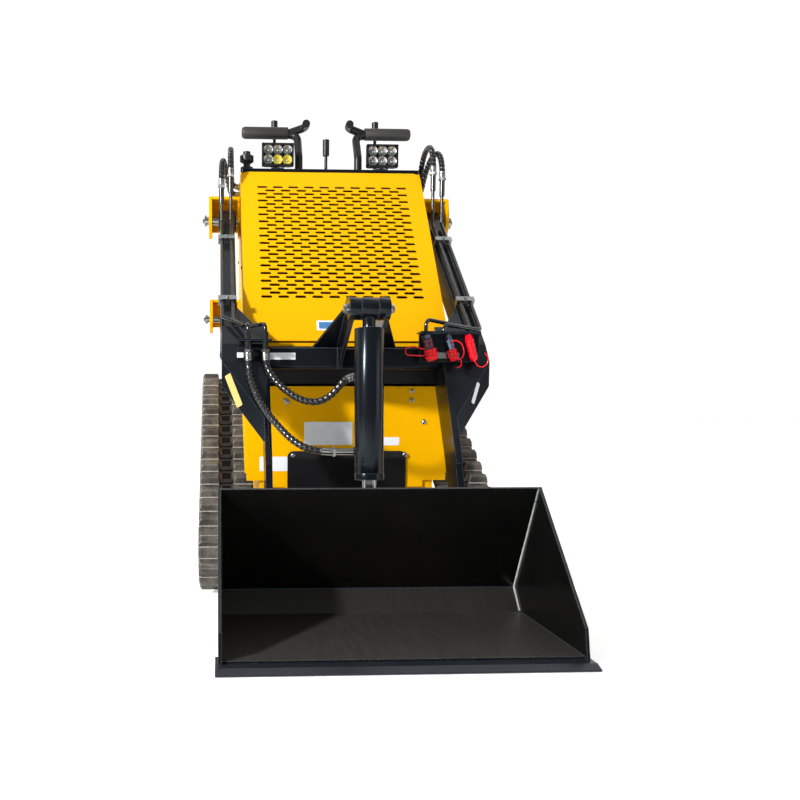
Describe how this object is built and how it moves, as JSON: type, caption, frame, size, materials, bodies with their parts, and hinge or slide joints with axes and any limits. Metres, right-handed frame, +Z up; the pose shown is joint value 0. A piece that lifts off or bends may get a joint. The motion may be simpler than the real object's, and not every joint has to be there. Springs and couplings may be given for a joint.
{
  "type": "compact stand-on track loader",
  "caption": "Compact stand-on loader on rubber tracks: sloping slotted hood, twin lift arms, central tilt cylinder and a wide bucket, with grip bars over the console.",
  "frame": {"origin": "on the ground at the middle of the footprint, between the two tracks and midway from the bucket lip to the rear edge of the platform", "axes": "+Z up; the machine faces -Y, so its own left side is +X"},
  "size_m": [0.976, 2.13, 1.706],
  "materials": {
    "bare_steel": "worn",
    "black_paint": "gloss",
    "black_plastic": "matt",
    "chrome_rod": "polished",
    "engine_grey": "matt",
    "frame_black": "satin",
    "hose_black": "gloss",
    "lamp": "gloss",
    "red_cap": "gloss",
    "track_rubber": "matt",
    "yellow_paint": "gloss",
    "zinc_steel": "satin"
  },
  "bodies": {
    "chassis": {"arm_brackets": "yellow_paint", "chassis_frame": "yellow_paint", "console": "black_paint", "control_levers": "black_plastic", "dash_panel": "black_paint", "drive_motor_left": "frame_black", "drive_motor_right": "frame_black", "drive_sprocket_left": "frame_black", "drive_sprocket_right": "frame_black", "engine_block": "engine_grey", "engine_rails": "frame_black", "filler_cap": "black_plastic", "front_crossmember": "black_paint", "front_panel": "yellow_paint", "guard_plate": "black_paint", "hood": "yellow_paint", "pivot_pins": "zinc_steel", "platform_hinges": "zinc_steel", "rear_cover": "yellow_paint", "reference_bars": "black_plastic", "rollers_left": "frame_black", "rollers_right": "frame_black", "track_frame_left": "frame_black", "track_frame_right": "frame_black", "track_left": "track_rubber", "track_right": "track_rubber", "work_lights": "lamp"},
    "lift_arm": {"arm_hose_left_inner": "hose_black", "arm_hose_left_outer": "hose_black", "arm_hose_right_inner": "hose_black", "arm_hose_right_outer": "hose_black", "arm_pipes_left": "zinc_steel", "arm_pipes_right": "zinc_steel", "coupler_bracket": "black_paint", "coupler_caps": "red_cap", "crossbeam": "black_paint", "knee_left": "black_paint", "knee_right": "black_paint", "lift_arm_left": "black_paint", "lift_arm_right": "black_paint", "pipe_clamps": "zinc_steel", "quick_couplers": "zinc_steel", "tilt_clevis": "black_paint", "tilt_hose_high": "hose_black", "tilt_hose_low": "hose_black", "tilt_pin": "zinc_steel"},
    "bucket": {"attach_plate": "black_paint", "bucket_shell": "black_paint", "cutting_edge": "bare_steel", "hinge_pins": "zinc_steel"},
    "lift_barrels": {"lift_barrels": "black_paint"},
    "lift_rods": {"lift_rods": "chrome_rod"},
    "platform": {"platform": "black_paint"},
    "tilt_barrel": {"tilt_barrel": "black_paint", "tilt_fittings": "zinc_steel"},
    "tilt_rod": {"tilt_rod": "chrome_rod"}
  },
  "joints": [
    {"name": "arm_lift", "type": "hinge", "parent": "chassis", "child": "lift_arm", "pos_m": [0, 0.41, 1.292], "axis": [-1, 0, 0], "range_deg": [0, 70]},
    {"name": "bucket_tilt", "type": "hinge", "parent": "lift_arm", "child": "bucket", "pos_m": [0, -0.44, 0.112], "axis": [1, 0, 0], "range_deg": [-15, 75]},
    {"name": "lift_barrel_swing", "type": "hinge", "parent": "chassis", "child": "lift_barrels", "pos_m": [0, 0.495, 0.93], "axis": [-1, 0, 0], "range_deg": [0, 58]},
    {"name": "lift_rod_slide", "type": "slide", "parent": "lift_barrels", "child": "lift_rods", "axis": [0, -0.9525, -0.3045], "range_m": [0, 0.392]},
    {"name": "tilt_barrel_swing", "type": "hinge", "parent": "lift_arm", "child": "tilt_barrel", "pos_m": [0, -0.493, 0.862], "axis": [1, 0, 0], "range_deg": [-8.35, 1.75]},
    {"name": "tilt_rod_slide", "type": "slide", "parent": "tilt_barrel", "child": "tilt_rod", "axis": [0, -0.0745, -0.9972], "range_m": [-0.0423, 0.2113]},
    {"name": "platform_fold", "type": "hinge", "parent": "chassis", "child": "platform", "pos_m": [0, 0.75, 0.215], "axis": [1, 0, 0], "range_deg": [0, 85]}
  ],
  "couplings": [
    {"joint": "lift_barrel_swing", "follows": "arm_lift", "ratio": 0.8269},
    {"joint": "lift_rod_slide", "follows": "arm_lift", "m_per_rad": 0.3197},
    {"joint": "tilt_barrel_swing", "follows": "bucket_tilt", "ratio": -0.11},
    {"joint": "tilt_rod_slide", "follows": "bucket_tilt", "m_per_rad": 0.1604}
  ]
}
